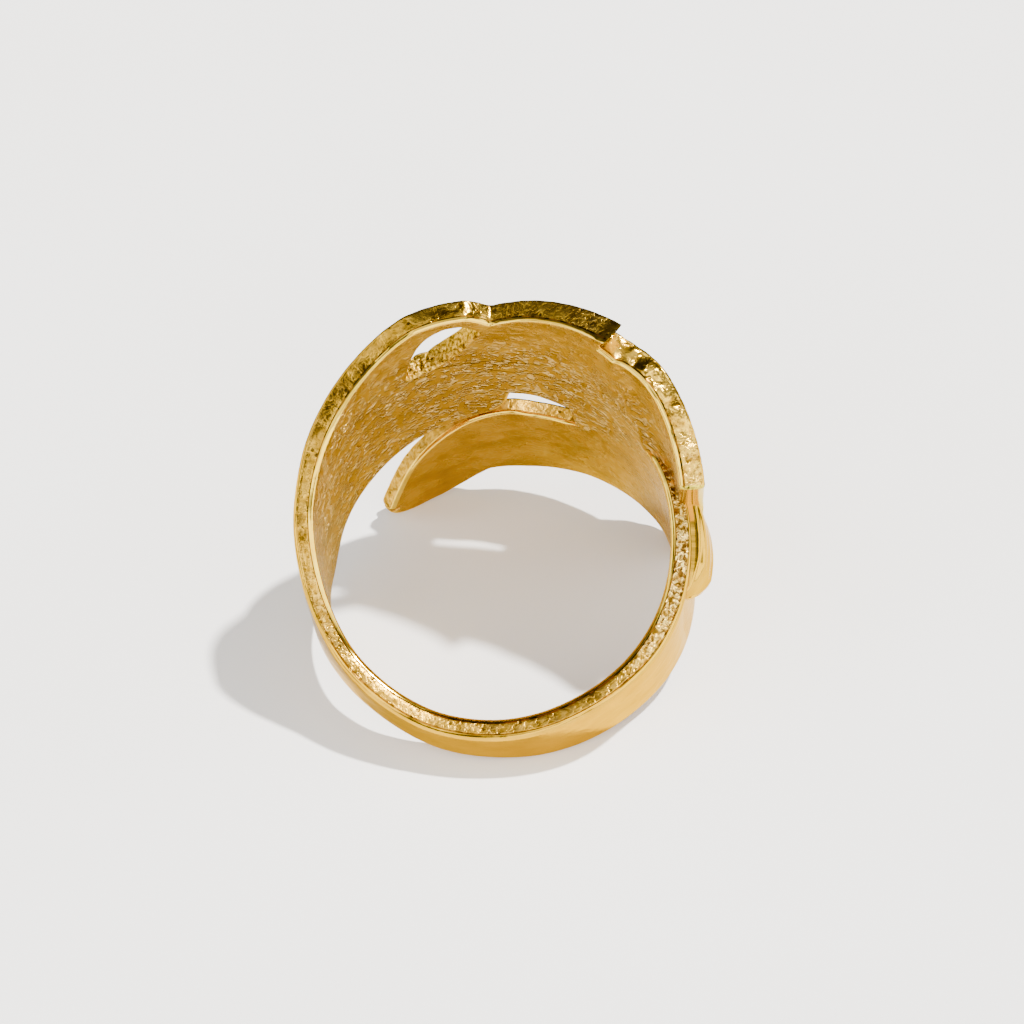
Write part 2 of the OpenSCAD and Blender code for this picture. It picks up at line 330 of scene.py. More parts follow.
# %% Wall radii
SHANK_WALL, UPPER_WALL, LOWER_WALL = 1.155, 1.165, 0.935    # mm
QUILL_RISE, QUILL_REACH = 0.34, 0.62                        # mm
BARB_DEPTH, BARB_PITCH, BARB_START = 0.17, 5.408, -128      # mm, degrees, degrees
CREASE_DEPTH, CREASE_REACH = 0.28, 2.2                      # mm, degrees


def vane_share(t):
    """0 on the plain shank, 1 on the full feathers."""
    return np.where(t < -180, ramp(-(t + 360), PLAIN_TO, -80), ramp(t, -110, -60))


def outside(t, w, side, angle, height, span):
    """Outside radius with quill, barbs and creases. span is the barb's length across the strip."""
    vane = vane_share(t)
    shank = 1 - ramp(t, -178, -150)
    upper = shank * SHANK_WALL + (1 - shank) * (UPPER_WALL + lap_gain(lap_place(angle, height)))
    lower = (1 - vane) * SHANK_WALL + vane * LOWER_WALL
    wall = np.where(t < -180, lower, upper)
    reach = np.minimum(QUILL_REACH, 0.34 * span)
    ridge = QUILL_RISE * vane * np.sqrt(np.clip(1 - (w * span / reach) ** 2, 0, 1))
    near_edge = 1 - 0.92 * soft(w, 0.88, 1.0)
    past_quill = soft(w * span, 0.3, 0.9)
    # The lower feather has no quill or barbs where the upper one covers it
    free = np.where(t < -180, ramp(-(t + 360), -34, -22), 1)
    fades = 1 - soft(t, 62, 75)
    wave = 1 - np.abs(np.cos(np.pi * (t - BARB_START) / BARB_PITCH))
    barb = BARB_DEPTH * vane * free * past_quill * near_edge * wave
    crease = sum(np.clip(1 - np.abs(t - c) / CREASE_REACH, 0, 1) for c in CREASES)
    crease = CREASE_DEPTH * crease * vane * (side > 0) * past_quill * near_edge
    return BORE + wall + ridge * free * fades - barb - crease


print("wall", SHANK_WALL, "mm on the shank,", round(float(UPPER_WALL + lap_gain(60)), 2),
      "mm over the lap")

# %% [markdown]
# ## Rims
#
# The rims carry what the caster's file left: a polished round lip towards the bore, a groove
# beside it, a flat raw face, and a bevel that is widest on the shank and catches the light. The
# lower feather's groove is almost gone. Over the right side and on the third group the upper rim's
# face falls away outwards.

# %% Rims, from the inside wall over the lip and the raw face to the outside wall
LIP = 0.24                           # radius of the round lip in mm
BEVEL_DROP = (0.10, 0.33)            # mm that the bevel takes off the face, on vanes and shank
BEVEL_INSET = (0.10, 0.24)           # mm that it takes off the outside wall
# The dark lines are painted shade in the groove by the lip and at the bevel's foot
INNER_LINE, OUTER_LINE = 0.03, 0.94  # where dark lines start, as shares of the way over the face

# Columns: share of the lip's radius towards the rim, share of it outwards
rim_lip = [(math.sin(a), 1 - math.cos(a)) for a in np.radians([22.5, 45, 67.5, 90])]
# Columns: share of the way over the face, how far it lies below the lip in mm
rim_face = [
    [INNER_LINE, 0.05], [0.10, 0.03], [0.20, 0.015], [0.34, 0.0], [0.48, 0.0], [0.62, 0.0],
    [0.76, 0.0], [0.88, 0.0], [OUTER_LINE, 0.045], [0.975, 0.045],
]
# Columns: share of the inset outwards, share of the drop that is still to come
bevel = [(math.sin(a), math.cos(a)) for a in np.radians([8, 30, 52, 74])]


def grain(points, size, seed):
    """Smooth noise at points given in mm."""
    shift = Vector((seed * 7.1, seed * 3.3, seed * 5.7))
    return np.array([noise.noise(Vector(p) / size + shift) for p in points.reshape(-1, 3)]
                    ).reshape(points.shape[:-1])


def lumps(angle):
    """Cast lumps for one rim, in mm: strongest on the third group, faint on the shank."""
    right = soft(-angle, 240, 262) * soft(angle, -330, -300)
    size = 0.012 + 0.22 * soft(angle, 38, 46) + 0.05 * right
    run = np.radians(angle) * MIDDLE

    def raw(s):
        spots = np.stack([run, 0 * run + s * 1.5, 0 * run], axis=-1)
        return size * (grain(spots, 0.85, 1) + 0.35 * grain(spots, 0.4, 2))
    return raw


def rim(vane, slant, groove, raw, r_in, r_out, end):
    """Radii of a rim's points from inside to outside, how far each lies in from the edge, and
    their finishes. raw is the height in mm of the lumps that the casting left on the face."""
    lip = np.minimum(LIP, 0.3 * (r_out - r_in)) * end
    drop = (vane * BEVEL_DROP[0] + (1 - vane) * BEVEL_DROP[1] + slant) * end
    inset = (vane * BEVEL_INSET[0] + (1 - vane) * BEVEL_INSET[1]) * end
    radii, back, finish = [], [], []
    for s, c in rim_lip:
        radii.append(r_in + lip * c)
        back.append(lip * (1 - s))
        finish.append(LIP_FINISH)
    # The lip's last face and the face's two lines get the groove's painted shade
    finish[-1] = GROOVE_FINISH
    for s, sunk in rim_face:
        radii.append(r_in + lip + (r_out - inset - r_in - lip) * s)
        sunk = sunk * (groove if s < 0.5 else 1 - vane) + slant * s
        back.append((sunk - raw(s) * min(1, 5 * s, 8 * (1 - s))) * end)
        finish.append(GROOVE_FINISH if s in (INNER_LINE, OUTER_LINE) else RIM_FINISH)
    for s, c in bevel:
        radii.append(r_out - inset * (1 - s))
        back.append(slant * end + (drop - slant * end) * (1 - c))
        finish.append(POLISH_FINISH)
    return np.array(radii).T, np.array(back).T, finish, lip, drop


print(len(rim_lip + rim_face + bevel), "points over a rim")

# %% [markdown]
# ## The walls of every section
#
# Each section's points get their places from the barbs they lie on. At both ends of the strip the
# two walls close on each other along a round, which is how a filed wax end comes out.

# %% Fill the walls
def rounded(r_in, r_out, near):
    """Both walls, closing on each other where near falls from 1 to 0, and how open they are."""
    close = (1 - (1 - np.clip(near, 0, 1)) ** 3) ** (1 / 3)
    middle = (r_in + r_out) / 2
    r_in, r_out = (middle + (r - middle) * close[:, None] for r in (r_in, r_out))
    return r_in, r_out, close


def strip_walls():
    """Angles and heights of the sections' points, radii of both walls and how open they are."""
    w = np.abs(shares)[None, :] + 0 * along[:, None]
    t = along[:, None] + 0 * w
    side = np.where(shares >= 0, 1, -1)[None, :] + 0 * t.astype(int)
    up, down = (barb_place(t, w, s, tips[:, None] + 0 * w) for s in (1, -1))
    angle, height = (np.where(side > 0, a, b) for a, b in zip(up, down))
    quill = quill_height(along)[:, None]
    span = np.where(side > 0, height[:, -1:] - quill, quill - height[:, :1])
    walls = inside(angle, height), outside(t, w, side, angle, height, span)
    return angle, height, *rounded(*walls, np.minimum(along - FIRST, LAST - along) / END)


angle, height, r_in, r_out, close = strip_walls()
print("heights", round(height.min(), 2), "to", round(height.max(), 2), "mm, radii",
      round(r_in.min(), 2), "to", round(r_out.max(), 2), "mm")

# %% [markdown]
# ## The rims of every section
#
# A rim hangs on the last points of both walls. The walls are drawn back along their barbs first, by
# as much as the lip and the bevel need, so that the outline stays where the tables put it.

# %% Hang the rims on the walls
RIGHT_SLANT, THIRD_SLANT = 0.28, 0.18    # mm
LOWER_ONLY = -300                        # places below this are on the lower feather
FAINT = 0.1                              # share that is left of the groove there


def strip_rims(angle, height, r_in, r_out, close):
    """Upper and lower rim, and the angles and heights of the walls drawn back from them."""
    groove = np.where(along < LOWER_ONLY, FAINT, 1.0)
    rims, pulled = [], [[angle, height], [angle, height]]
    for s, edge, inner in ((1, -1, -2), (-1, 0, 1)):
        a = angle[:, edge]
        right = soft(-a, 222, 240) * soft(a, -318, -300)
        slant = RIGHT_SLANT * right + THIRD_SLANT * soft(a, 38, 46)
        r, back, finish, lip, drop = rim(vane_share(along), slant * (s > 0), groove, lumps(a),
                                         r_in[:, edge], r_out[:, edge], close)
        # Unit step from the edge back along the barb, in degrees and mm
        run = np.stack([(angle[:, inner] - a) / PER_MM, height[:, inner] - height[:, edge]])
        run = run / np.linalg.norm(run, axis=0)
        da, dz = (run[0] * PER_MM)[:, None], run[1][:, None]
        rims.append((angle[:, [edge]] + da * back, height[:, [edge]] + dz * back, r, finish))
        for wall, depth in ((0, lip), (1, drop)):
            share = depth[:, None] * np.abs(shares)[None, :] ** 4 * (shares * s > 0)
            pulled[wall] = [pulled[wall][0] + da * share, pulled[wall][1] + dz * share]
    return *rims, *pulled


top, low, inner_wall, outer_wall = strip_rims(angle, height, r_in, r_out, close)
print("rims from", round(low[1].min(), 2), "to", round(top[1].max(), 2), "mm")

# %% [markdown]
# ## Which finish goes where
#
# The grid's order makes this easy: columns follow the walls and rims, and rows follow the strip.
# The end face of the second group and the end of the upper feather get a lighter base, a painted
# highlight. The dark lines are painted shade in the grooves: on the vanes none runs before the
# bevel, but the upper rim has one at the bevel's foot, and the lower feather's upper rim has none
# by its lip.

# %% Finish of each face
VANE_FROM = 0.3                      # share of the full feather from which the vane's rows count
BEVEL_LINE = len(rim_lip) + [s for s, sunk in rim_face].index(OUTER_LINE)


def strip_finish(over_top, over_low):
    """Finish of each face. over_top and over_low are the finishes across the two rims."""
    n, m, m_top = len(along), len(shares), len(shares) + len(over_top)
    plain = np.where((along > PLAIN_FROM) & (along < PLAIN_TO), POLISH_FINISH, VANE_FINISH)
    finish = np.hstack([np.full((n, m), BORE_FINISH), np.tile(over_top, (n, 1)),
                        np.repeat(plain[:, None], m, axis=1), np.tile(over_low[::-1], (n, 1))])
    # End faces: a lighter base that paints their highlight
    finish[-len(ends):] = BRIGHT_FINISH
    end_face = (np.abs(along - SPLIT) < 2 * NUDGE) & (along < SPLIT)
    finish[end_face, m:m_top] = BRIGHT_FINISH
    finish[np.searchsorted(along, SPLIT) - 1] = BRIGHT_FINISH
    vane = vane_share(along) > VANE_FROM
    for column in (m + BEVEL_LINE, finish.shape[1] - 1 - BEVEL_LINE):
        finish[vane, column] = RIM_FINISH
    finish[vane, m_top - 2:m_top] = GROOVE_FINISH
    finish[along < LOWER_ONLY, m + len(rim_lip) - 1:m + len(rim_lip) + 1] = RIM_FINISH
    return finish


def closed(first, over_top, second, over_low):
    """Up the first wall, over the upper rim, down the second wall and back over the lower rim."""
    return np.hstack([first, over_top, second[:, ::-1], over_low[:, ::-1], first[:, :1]])


angles, heights = (closed(inner_wall[k], top[k], outer_wall[k], low[k]) for k in (0, 1))
radii = closed(r_in, top[2], r_out, low[2])
over = np.ones(len(top[3]))
reach = np.hstack([shares, over, shares[::-1], -over, shares[:1]])
maps = {
    "around": np.stack([np.radians(angles) * BORE, heights], axis=-1),
    "barbs": np.stack([np.radians(along)[:, None] * MIDDLE + 0 * angles,
                       reach[None, :] * np.abs(heights - quill_height(along)[:, None])], axis=-1),
}
ring = shell("feather_strip", rolled(angles, heights, radii), maps, strip_finish(top[3], low[3]))

# %% [markdown]
# ## The sawn slot
#
# A curved triangle is pierced between the first two groups of barbs. The jeweller saws it and then
# rounds its edges with a burr. The cutter is therefore a plug that widens towards both faces of the
# wall, so one boolean leaves the hole and its rounded edges together.

# %% The plug
# Columns: angle, lower edge, upper edge
SLOT = [
    [-30.5, 4.66, 4.84], [-29, 4.70, 5.80], [-27, 4.75, 6.70], [-24, 4.80, 7.55], [-21, 4.90, 8.05],
    [-18, 5.15, 8.30], [-15, 5.55, 8.45], [-11, 6.15, 8.42], [-8, 6.80, 8.20], [-4.5, 7.52, 7.63],
]
SLOT_MIDDLE = np.array([-19.0, 6.7])
# Columns: radius less the bore, how far the plug stands out all round
PLUG = [[-0.6, 0.17], [-0.02, 0.17], [0.02, 0.11], [0.07, 0.05], [0.14, 0.01], [0.22, 0.0],
        [0.7, 0.02], [1.08, 0.02], [1.16, 0.06], [1.24, 0.14], [1.3, 0.2], [2.2, 0.2]]


def slot_cutter():
    a = np.linspace(SLOT[0][0], SLOT[-1][0], 40)
    low, high = (np.stack([a, curve(SLOT, c)(a)], 1) for c in (1, 2))
    out = (np.vstack([low, high[::-1]]) - SLOT_MIDDLE) / [PER_MM, 1]
    bm = bmesh.new()
    rings = []
    for depth, grow in PLUG:
        grown = out + out / np.linalg.norm(out, axis=1)[:, None] * grow
        spots = SLOT_MIDDLE + grown * [PER_MM, 1]
        points = rolled(spots[:, 0], spots[:, 1], np.full(len(spots), BORE + depth))
        verts = [bm.verts.new(p) for p in points]
        rings.append([bm.edges.new((v, verts[k - 1])) for k, v in enumerate(verts)])
    for one, two in zip(rings, rings[1:]):
        bmesh.ops.bridge_loops(bm, edges=one + two)
    bmesh.ops.holes_fill(bm, edges=rings[0] + rings[-1], sides=0)
    bmesh.ops.triangulate(bm, faces=[f for f in bm.faces if len(f.verts) > 4])
    bmesh.ops.recalc_face_normals(bm, faces=bm.faces)
    for f in bm.faces:
        f.smooth = True
        f.material_index = SAWN_FINISH
    return placed("slot_cutter", bm)


plug = slot_cutter()
print("plug of", len(plug.data.polygons), "faces")

# %% [markdown]
# ## Sawing
#
# The exact solver keeps the rest of the strip's grid as it is. The material mode says that the new
# wall takes the plug's finish by its number, so the hole comes out sawn and not polished.

# %% Saw the slot
def cut(piece, cutter):
    """Subtract the cutter and keep the result as the piece's own mesh."""
    change = piece.modifiers.new("cut", "BOOLEAN")
    change.operation, change.object, change.solver = "DIFFERENCE", cutter, "EXACT"
    change.material_mode = "INDEX"
    graph = bpy.context.evaluated_depsgraph_get()
    mesh = bpy.data.meshes.new_from_object(piece.evaluated_get(graph))
    piece.modifiers.clear()
    old, piece.data = piece.data, mesh
    bpy.data.meshes.remove(old)
    bpy.data.objects.remove(cutter)
    mesh.set_sharp_from_angle(angle=SHARP)
    print(piece.name, "after the cut:", len(mesh.polygons), "faces")


cut(ring, plug)

# %% [markdown]
# ## The lapped tip
#
# The upper feather's end comes out below its last barbs as a small leaf on the outside of the
# shank. It is a shallow dome with its own rib, two hollows and faint barbs, thickest in the middle
# and flush at its point. Its underside lies inside the shank, so the two read as one casting.

# %% The leaf on the shank
# Columns: angle, lower edge, upper edge, rise above the shank
LEAF = [
    [66, -3.00, 2.30, 0.30], [74, -3.05, 2.36, 0.46], [80, -3.00, 2.28, 0.72],
    [86, -2.80, 2.06, 0.84], [91, -2.45, 1.80, 0.87], [96, -2.00, 1.52, 0.86],
    [99.5, -1.50, 1.30, 0.60], [102.3, -0.80, 1.08, 0.28], [104.6, 0.00, 0.85, 0.04],
]
# Columns: place from the rib to the edge, reach to both sides, depth in mm
HOLLOWS = [[0.86, 0.06, 0.13], [0.5, 0.09, 0.05]]
LEAF_STEPS, LEAF_ROWS = 110, 61      # sections along it and points across it
LEAF_UNDER, LEAF_CORE = 0.95, 1.1    # its underside and the radius its ends close on, less the bore
LEAF_RIB, LEAF_BARB = 0.08, 0.05     # mm that its rib stands up and its barbs are cut in


def leaf():
    a = np.linspace(LEAF[0][0], LEAF[-1][0], LEAF_STEPS)
    low, high, rise = (curve(LEAF, c)(a)[:, None] for c in (1, 2, 3))
    w = np.sin(np.linspace(-math.pi / 2, math.pi / 2, LEAF_ROWS))[None, :]
    middle, half_width = (low + high) / 2, (high - low) / 2
    angle = a[:, None] - 3 * np.minimum(1, half_width / 1.9) * w ** 2
    height = middle + half_width * w
    rib = LEAF_RIB * np.clip(1 - np.abs(w) / 0.10, 0, 1)
    hollow = sum(depth * np.exp(-((w - place) / reach) ** 2) for place, reach, depth in HOLLOWS)
    wave = 1 - np.abs(np.cos(math.pi * (a[:, None] + 14 * np.abs(w)) / 5.4))
    barbs = LEAF_BARB * wave * (w < 0)
    carved = barbs * soft(np.abs(w), 0.12, 0.3) + hollow * ramp(rise, 0.3, 0.8)
    dome = rise * (0.10 + 0.90 * np.sqrt(1 - w ** 2)) + rib - carved * (np.abs(w) < 0.99)
    top = BORE + SHANK_WALL + np.maximum(dome, 0.02)
    under = np.full_like(top, BORE + LEAF_UNDER)
    radius = np.hstack([under, top[:, ::-1], under[:, :1]])
    angle, height = (np.hstack([g, g[:, ::-1], g[:, :1]]) for g in (angle, height))
    step = np.arange(LEAF_STEPS)
    close = np.clip(np.minimum(step, step[::-1]) / 4.0, 0, 1)[:, None] ** 0.5
    radius = BORE + LEAF_CORE + (radius - BORE - LEAF_CORE) * close
    plan = np.stack([np.radians(angle) * MIDDLE, height], axis=-1)
    finish = np.full((LEAF_STEPS - 1, angle.shape[1] - 1), POLISH_FINISH)
    return shell("lapped_leaf", rolled(angle, height, radius), {"around": plan, "barbs": plan}, finish)


leaf_piece = leaf()

# %% [markdown]
# ## The lowest barbs
#
# At the right the upper feather's lowest barbs reach down behind the shank, and the ring stands on
# them. They are a fan of their own, tucked under the vane, so they get their own small shell. Its
# first section is the smooth side that closes the window between the two feathers.

# %% The fan behind the shank
# Columns: angle of the root, turn to the tip, height of the root, height of the tip
LOW_BARBS = [
    [22.3, 8.7, 1.00, -4.60], [27, 10, 0.70, -6.40], [32, 11, 0.35, -7.40],
    [38, 12, -0.20, -8.10], [44, 12, -0.70, -8.42], [50, 12, -1.20, -8.46],
    [56, 11, -1.55, -8.10], [61, 10, -1.80, -7.30], [66, 9, -2.00, -5.80], [70, 7, -2.10, -4.30],
]
LAST_BARB = len(LOW_BARBS) - 1
FAN_POINTS = 44                      # points down each barb
FAN_WALL, FAN_LIP, FAN_PITCH = 1.20, 0.07, 0.95    # mm
FAN_END = 0.35                       # share of a barb over which both sides are rounded


def fan_walls(k, w):
    """Angles, heights and both walls' radii at share w down barb number k, and how open they are."""
    rows = [[number] + row for number, row in enumerate(LOW_BARBS)]
    root, turn, start, tip = (curve(rows, c)(k)[:, None] for c in (1, 2, 3, 4))
    angle, height = root + turn * w ** 2, start + (tip - start) * w
    # Its inside steps out where the lower feather passes within it
    covered = upper_edge(angle - 360) - height
    r_in = BORE + np.clip(-0.4 + (covered - 0.3) * 3, 0, 0.70)
    wave = 1 - np.abs(np.cos(np.pi * k))[:, None]
    r_out = (BORE + FAN_WALL + lap_gain(lap_place(angle, height))
             - BARB_DEPTH * wave * soft(w, 0.1, 0.3) * (1 - 0.6 * soft(w, 0.9, 1))
             - 0.5 * (1 - ramp(w, 0, 0.2)))
    return angle, height, start - tip, *rounded(r_in, r_out, np.minimum(k, LAST_BARB - k) / FAN_END)


def low_barbs():
    near = np.array([0, 0.01, 0.04, 0.1, 0.2, 0.35])
    k = np.concatenate([near, np.arange(0.5, LAST_BARB - 0.4, 0.07), LAST_BARB - near[::-1]])
    w = 1 - (1 - np.linspace(0, 1, FAN_POINTS)[None, :]) ** 1.4
    angle, height, length, r_in, r_out, close = fan_walls(k, w)
    lip = FAN_LIP * close[:, None]
    turn_in = [(math.sin(a), 1 - math.cos(a)) for a in np.radians([30, 60, 90])]
    rim_r = [r_in[:, -1:] + lip * c for s, c in turn_in]
    rim_r += [r_out[:, -1:] - lip * c for s, c in turn_in[::-1]]
    rim_h = [height[:, -1:] - lip * (s - 1) for s, c in turn_in + turn_in[::-1]]
    height = height + lip * w ** 8
    tips_w = w[:, -1:] + np.zeros((1, len(rim_r)))
    radii = np.hstack([r_in] + rim_r + [r_out[:, ::-1], r_in[:, :1]])
    heights = np.hstack([height] + rim_h + [height[:, ::-1], height[:, :1]])
    angles = np.hstack([angle] + [angle[:, -1:]] * len(rim_r) + [angle[:, ::-1], angle[:, :1]])
    reach = np.hstack([w, tips_w, w[:, ::-1], w[:, :1]]) * length
    finish = np.full((len(k) - 1, angles.shape[1] - 1), VANE_FINISH)
    finish[:, :FAN_POINTS] = BORE_FINISH
    maps = {"around": np.stack([np.radians(angles) * BORE, heights], axis=-1),
            "barbs": np.stack([FAN_PITCH * k[:, None] + 0 * angles, reach], axis=-1)}
    return shell("low_barbs", rolled(angles, heights, radii), maps, finish)


fan = low_barbs()

# %% [markdown]
# ## One casting
#
# Strip, leaf and fan are one piece of metal, so they become one mesh. A bmesh takes them in turn and
# keeps their UV maps and finishes, because the layers have the same names.

# %% Join the shells
def join(name, pieces):
    bm = bmesh.new()
    for piece in pieces:
        bm.from_mesh(piece.data)
        bpy.data.objects.remove(piece)
    joined = placed(name, bm)
    mesh = joined.data
    mesh.set_sharp_from_angle(angle=SHARP)
    print(name, len(mesh.polygons), "faces, maps", [layer.name for layer in mesh.uv_layers])
    return joined


casting = join("feather_casting", [ring, leaf_piece, fan])
size = [max(v.co[i] for v in casting.data.vertices) - min(v.co[i] for v in casting.data.vertices)
        for i in range(3)]
print("casting", [round(v / MM, 2) for v in size], "mm")

# %% [markdown]
# ## Metal helpers
#
# Gold-coloured brass has no skin of paint: all its colour is in the reflection, so the base colour
# is the reflection's tint, Metallic is 1 and the finish is told by roughness and by bump. In places
# light and shade are also painted into the base colour. One function adds any node. A value that
# is a node or a socket is linked, and any other is set.

# %% Colours and nodes
def colour(code):
    """Linear colour of an sRGB hex code."""
    parts = [int(code[k:k + 2], 16) / 255 for k in (0, 2, 4)]
    return tuple(p / 12.92 if p <= 0.04045 else ((p + 0.055) / 1.055) ** 2.4 for p in parts) + (1,)


def feed(tree, value, socket):
    """Link a node's first output or a given output to a socket, or set it to any other value."""
    if isinstance(value, bpy.types.Node):
        value = next(output for output in value.outputs if output.enabled)
    if isinstance(value, bpy.types.NodeSocket):
        tree.links.new(value, socket)
    else:
        socket.default_value = value


def add(tree, kind, *feeds, stops=(), **settings):
    """Add a node. feeds go to its sockets in order, and settings to the properties or sockets
    that they name. stops are a ramp's places, each with a hex code or a grey from 0 to 1."""
    node = tree.nodes.new("ShaderNode" + kind)
    sockets = dict(enumerate(feeds))
    for key, value in settings.items():
        if hasattr(node, key):
            setattr(node, key, value)
        else:
            sockets[key.replace("_", " ")] = value
    for key, value in sockets.items():
        feed(tree, value, node.inputs[key])
    while stops and len(node.color_ramp.elements) < len(stops):
        node.color_ramp.elements.new(0.5)
    for k, (place, shade) in enumerate(stops):
        stop = node.color_ramp.elements[k]
        stop.position = place
        stop.color = colour(shade) if isinstance(shade, str) else (shade, shade, shade, 1)
    return node


print("BA8C12 is", [round(part, 3) for part in colour("BA8C12")[:3]], "in linear light")

# %% [markdown]
# ## Patterns in millimetres
#
# The strip carries two maps in millimetres. "around" runs round the bore and up it, for wrinkles
# and scratches. "barbs" runs along the quill and out along each barb, for what the chaser cut. A
# noise scaled by a real size then has that size on the ring.

# %% Metal, patterns and coats
def metal(name, edge="F3DC9A"):
    """A new metal: its material and node tree. edge is its tint at glancing angles."""
    finish = bpy.data.materials.new(name)
    finish.use_nodes = True
    shader = finish.node_tree.nodes["Principled BSDF"]
    shader.inputs["Metallic"].default_value = 1
    shader.inputs["Specular Tint"].default_value = colour(edge)
    return finish, finish.node_tree


def pattern(tree, plan, size, detail=3.0, twist=0.0, seed=0.0, rough=0.55, down=0.0):
    """Noise on a UV map, about size = (along, across) in mm. down shifts it down by so many mm."""
    place = add(tree, "Mapping", plan, Location=(seed, seed * 0.37 + down / size[1], 0),
                Scale=(1 / size[0], 1 / size[1], 1))
    return add(tree, "TexNoise", place, noise_dimensions="2D", Scale=1.0, Detail=detail,
               Distortion=twist, Roughness=rough)


def coats(tree, base, layers):
    """Hex colours laid over a base in turn. layers are (share, hex code)."""
    for share, code in layers:
        base = add(tree, "Mix", data_type="RGBA", Factor=share, A=base, B=colour(code))
    return base


def dress(finish, base, rough, reliefs=()):
    """Give the shader its colour, its roughness and a chain of bumps, (height, depth in mm)."""
    tree = finish.node_tree
    shader = tree.nodes["Principled BSDF"]
    feed(tree, base, shader.inputs["Base Color"])
    feed(tree, rough, shader.inputs["Roughness"])
    under = {}
    for height, depth in reliefs:
        bump = add(tree, "Bump", Height=height, Strength=1.0, Distance=depth * MM, **under)
        under = {"Normal": bump}
    for bump in under.values():
        feed(tree, bump, shader.inputs["Normal"])
    print(finish.name, "made of", len(tree.nodes), "nodes")
    return finish


print("maps", list(maps), "are", round(float(np.ptp(maps["around"][..., 0]))), "and",
      round(float(np.ptp(maps["barbs"][..., 0]))), "mm long")

# %% [markdown]
# ## Masks
#
# A finish isn't even all round: the lower feather was rubbed smooth, and the right side was left
# raw. A mask along the strip says where, by the angle round the bore. Two more helpers turn smooth
# noise into things with an edge: a soft step, and a thin ridge that winds where the noise crosses
# its middle value.

# %% Masks from places and from noise
MASK_START, MASK_RUN = -66, 80       # mm round the bore where masks start, and how long they are
# Makes a Map Range run from 0 at its first limit to 1 at its second with soft ends
SOFT = {"interpolation_type": "SMOOTHSTEP"}


def along_strip(tree, around, stops):
    """Value that changes along the strip. stops are (angle, value)."""
    split = add(tree, "SeparateXYZ", around)
    place = add(tree, "Math", split.outputs["X"], 1 / MASK_RUN, -MASK_START / MASK_RUN,
                operation="MULTIPLY_ADD")
    return add(tree, "ValToRGB", place, stops=[
        ((math.radians(angle) * BORE - MASK_START) / MASK_RUN, value) for angle, value in stops])


def ridge_of(tree, noise_node, width):
    """Winding ridges along the places where the noise crosses its middle value."""
    above = add(tree, "Math", noise_node, 0.5, operation="SUBTRACT")
    gap = add(tree, "Math", above, operation="ABSOLUTE")
    return add(tree, "MapRange", gap, width, 0.3 * width, **SOFT)


print("masks reach from", round(math.degrees(MASK_START / BORE)), "to",
      round(math.degrees((MASK_START + MASK_RUN) / BORE)), "degrees")

# %% [markdown]
# ## The reamed bore
#
# The reamer only skims the casting, so the bore keeps the wax's wrinkles: short squiggles that run
# round the ring, faint near the rim and dense lower down, and two hairline cracks. Each wrinkle gets
# a painted highlight on its crest and painted shade just below it, so the same ridges are drawn
# twice, a little apart.

# %% Cracks and bore finish
# Columns: height, start and end round the bore, all in mm
CRACKS = [[4.55, -3.6, 2.6], [3.45, -1.6, 4.4]]
WRINKLE, FOOT_DROP = (0.60, 0.28), 0.10    # mm


def cracks(tree, around, split):
    """Two hairline cracks, each following a wandering height over its own stretch."""
    wander = pattern(tree, around, (2.2, 400.0), detail=4.0)
    dark = None
    for height, start, stop in CRACKS:
        path = add(tree, "Math", wander, 1.3, height - 0.65, operation="MULTIPLY_ADD")
        above = add(tree, "Math", split.outputs["Y"], path, operation="SUBTRACT")
        gap = add(tree, "Math", above, operation="ABSOLUTE")
        line = add(tree, "MapRange", gap, 0.045, 0.02, **SOFT)
        begun = add(tree, "MapRange", split.outputs["X"], start, start + 0.6, **SOFT)
        left = add(tree, "MapRange", split.outputs["X"], stop, stop - 0.9, **SOFT)
        within = add(tree, "Math", begun, left, operation="MULTIPLY")
        here = add(tree, "Math", line, within, operation="MULTIPLY")
        dark = add(tree, "Math", dark, here, operation="MAXIMUM") if dark else here
    return dark


def bore_finish():
    finish, tree = metal("reamed_brass")
    around = add(tree, "UVMap", uv_map="around")
    split = add(tree, "SeparateXYZ", around)
    crest, foot = (ridge_of(tree, pattern(tree, around, WRINKLE, detail=0.6, twist=1.0, down=drop),
                            0.10) for drop in (0.0, FOOT_DROP))
    parts = pattern(tree, around, (0.5, 0.6), detail=1.0, seed=13.0)
    parts = add(tree, "MapRange", parts, 0.36, 0.48, **SOFT)
    low = add(tree, "MapRange", split.outputs["Y"], 8.2, 4.0, **SOFT)
    worn = along_strip(tree, around, [(-406, 0.06), (-330, 0.10), (-300, 0.35), (-262, 0.15),
                                      (-180, 0.10), (-130, 0.5), (-100, 1.0), (82, 1.0)])
    mask = add(tree, "Math", low, 0.85, 0.15, operation="MULTIPLY_ADD")
    mask = add(tree, "Math", mask, worn, operation="MULTIPLY")
    mask = add(tree, "Math", mask, parts, operation="MULTIPLY")
    wrinkle = add(tree, "Math", crest, mask, operation="MULTIPLY")

    patch = pattern(tree, around, (2.6, 1.5), detail=3.0, seed=7.0)
    base = add(tree, "ValToRGB", patch, stops=[(0.30, "98701E"), (0.50, "B0842A"), (0.70, "C09432")])
    # Painted highlight on the wrinkles' crests and painted shade just below them
    shine = add(tree, "Math", wrinkle, 0.7, operation="MULTIPLY")
    shade = add(tree, "Math", foot, crest, operation="SUBTRACT", use_clamp=True)
    shade = add(tree, "Math", shade, mask, operation="MULTIPLY")
    dark = cracks(tree, around, split)
    base = coats(tree, base, [(shine, "F6D88C"), (shade, "2C1C06"), (dark, "2E1D06")])
    rough = add(tree, "Math", patch, 0.14, 0.20, operation="MULTIPLY_ADD")
    fine = pattern(tree, around, (0.20, 0.12), detail=2.0, seed=3.0)
    return dress(finish, base, rough, [(wrinkle, 0.14), (fine, 0.012)])


reamed = bore_finish()
